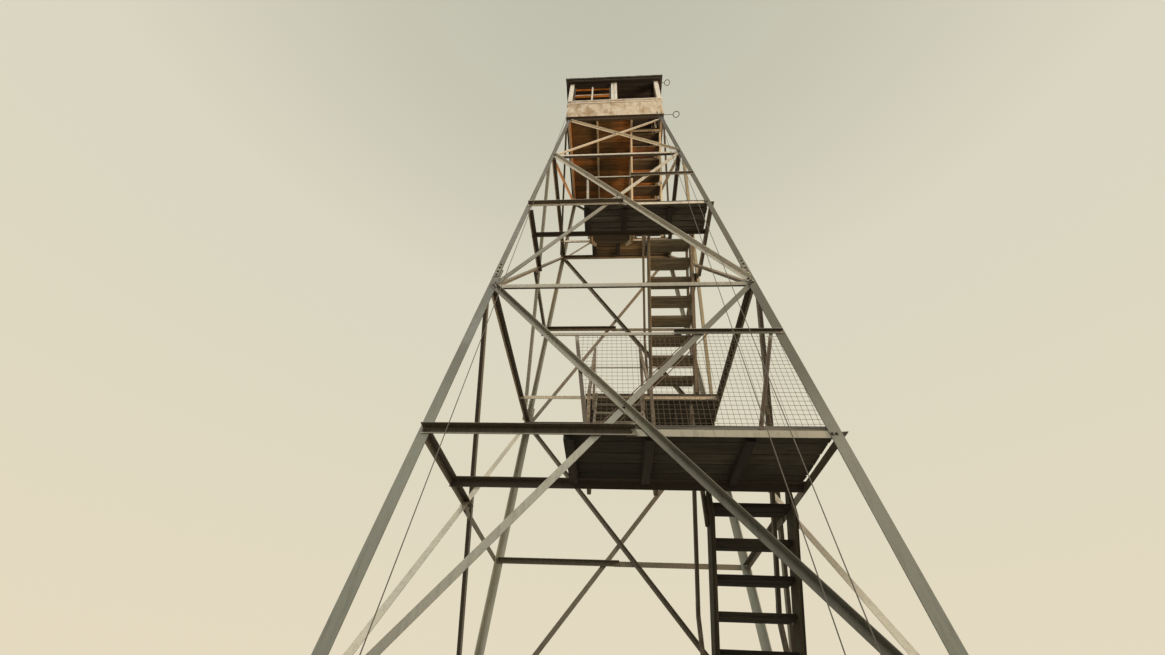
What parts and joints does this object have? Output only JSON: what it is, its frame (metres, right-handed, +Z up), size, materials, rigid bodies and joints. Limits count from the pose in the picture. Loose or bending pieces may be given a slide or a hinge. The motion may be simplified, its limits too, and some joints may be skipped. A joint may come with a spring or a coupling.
{
  "type": "fire lookout tower",
  "caption": "Steel lattice lookout tower on concrete footings, with zigzag wooden stairs, landings and a square boarded cab under a low hipped roof.",
  "frame": {"origin": "on the ground, at the middle of the four legs", "axes": "+Z up; -Y is the front, where the first landing is; +X is the right side, where the ground flight is"},
  "size_m": [4.36, 4.36, 13.597],
  "materials": {
    "concrete": "rough cast concrete",
    "galvanised_steel": "dull weathered zinc",
    "dark_wood": "dark weathered boards",
    "rail_wood": "bare weathered wood",
    "floor_boards": "bare boards",
    "cab_siding": "peeling cream paint on boards",
    "sash_wood": "old white paint on wood",
    "roof_boards": "dark weathered felt on boards"
  },
  "bodies": {
    "root": {"footings": "concrete", "leg_front_left": "galvanised_steel", "leg_front_right": "galvanised_steel", "leg_back_left": "galvanised_steel", "leg_back_right": "galvanised_steel", "lattice_front": "galvanised_steel", "lattice_right": "galvanised_steel", "lattice_back": "galvanised_steel", "lattice_left": "galvanised_steel", "landing_beams": "galvanised_steel", "landing_1": "dark_wood", "landing_2": "dark_wood", "landing_3": "dark_wood", "landing_4": "dark_wood", "stringers_1": "dark_wood", "stringers_2": "dark_wood", "stringers_3": "dark_wood", "stringers_4": "dark_wood", "stringers_5": "dark_wood", "treads_1": "dark_wood", "treads_2": "dark_wood", "treads_3": "dark_wood", "treads_4": "dark_wood", "treads_5": "dark_wood", "handrails_1": "rail_wood", "handrails_2": "rail_wood", "handrails_3": "rail_wood", "handrails_4": "rail_wood", "handrails_5": "rail_wood", "railing_1": "galvanised_steel", "railing_2": "galvanised_steel", "railing_3": "galvanised_steel", "mesh_1": "galvanised_steel", "cab_floor_frame": "dark_wood", "cab_floor": "floor_boards", "wall_front": "cab_siding", "wall_right": "cab_siding", "wall_back": "cab_siding", "wall_left": "cab_siding", "sash_front": "sash_wood", "sash_right": "sash_wood", "sash_back": "sash_wood", "sash_left": "sash_wood", "ceiling": "floor_boards", "roof": "roof_boards", "ground_wires": "galvanised_steel", "ring_rods": "galvanised_steel"}
  },
  "joints": []
}
